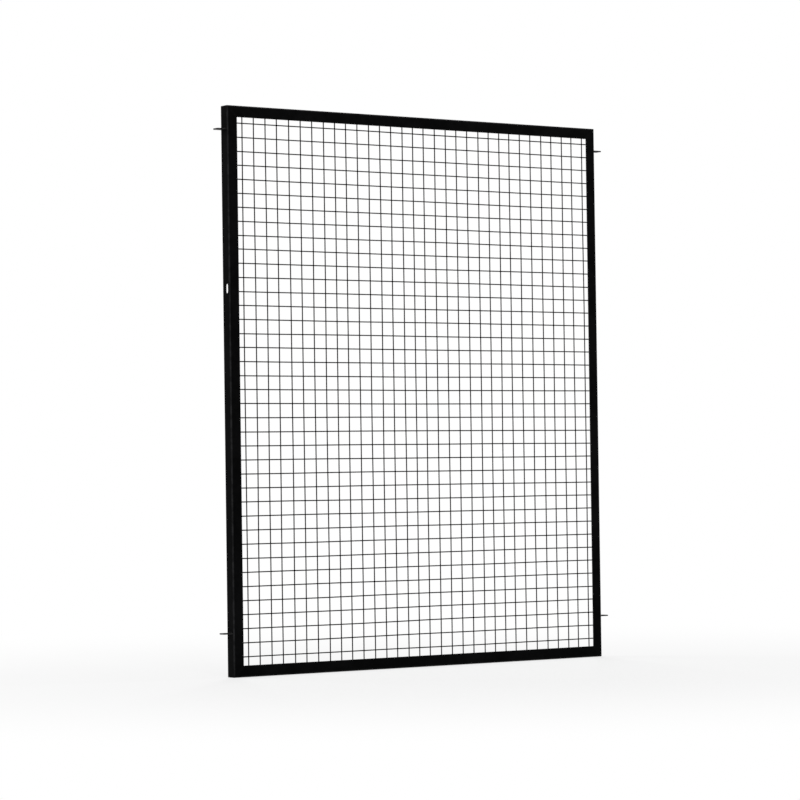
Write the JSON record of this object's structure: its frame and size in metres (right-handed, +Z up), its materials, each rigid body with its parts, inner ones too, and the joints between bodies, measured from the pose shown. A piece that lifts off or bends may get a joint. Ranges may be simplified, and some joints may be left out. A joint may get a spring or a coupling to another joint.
{
  "type": "perimeter guard panel",
  "caption": "Upright guard panel of black coated steel: a mitred angle frame holding a square welded wire mesh, with flat side lugs and side slots for bolting between posts.",
  "frame": {"origin": "middle of the frame's underside, halfway through its depth", "axes": "+X to the right seen from the front, +Y to the back where the mesh lies, +Z up"},
  "size_m": [1.3336, 0.0318, 1.5494],
  "materials": {
    "frame_coat": "black powder coat, satin",
    "lug_coat": "black powder coat, satin",
    "wire_coat": "black powder coat, satin"
  },
  "bodies": {
    "root": {"left_stile": "frame_coat", "right_stile": "frame_coat", "top_rail": "frame_coat", "bottom_rail": "frame_coat", "upper_left_lug": "lug_coat", "upper_right_lug": "lug_coat", "lower_left_lug": "lug_coat", "lower_right_lug": "lug_coat", "upright_wire_01": "wire_coat", "upright_wire_02": "wire_coat", "upright_wire_03": "wire_coat", "upright_wire_04": "wire_coat", "upright_wire_05": "wire_coat", "upright_wire_06": "wire_coat", "upright_wire_07": "wire_coat", "upright_wire_08": "wire_coat", "upright_wire_09": "wire_coat", "upright_wire_10": "wire_coat", "upright_wire_11": "wire_coat", "upright_wire_12": "wire_coat", "upright_wire_13": "wire_coat", "upright_wire_14": "wire_coat", "upright_wire_15": "wire_coat", "upright_wire_16": "wire_coat", "upright_wire_17": "wire_coat", "upright_wire_18": "wire_coat", "upright_wire_19": "wire_coat", "upright_wire_20": "wire_coat", "upright_wire_21": "wire_coat", "upright_wire_22": "wire_coat", "upright_wire_23": "wire_coat", "upright_wire_24": "wire_coat", "upright_wire_25": "wire_coat", "upright_wire_26": "wire_coat", "upright_wire_27": "wire_coat", "upright_wire_28": "wire_coat", "upright_wire_29": "wire_coat", "upright_wire_30": "wire_coat", "upright_wire_31": "wire_coat", "upright_wire_32": "wire_coat", "upright_wire_33": "wire_coat", "upright_wire_34": "wire_coat", "level_wires_01": "wire_coat", "level_wires_02": "wire_coat", "level_wires_03": "wire_coat", "level_wires_04": "wire_coat", "level_wires_05": "wire_coat", "level_wires_06": "wire_coat", "level_wires_07": "wire_coat", "level_wires_08": "wire_coat", "level_wires_09": "wire_coat", "level_wires_10": "wire_coat", "level_wires_11": "wire_coat", "level_wires_12": "wire_coat", "level_wires_13": "wire_coat", "level_wires_14": "wire_coat"}
  },
  "joints": []
}
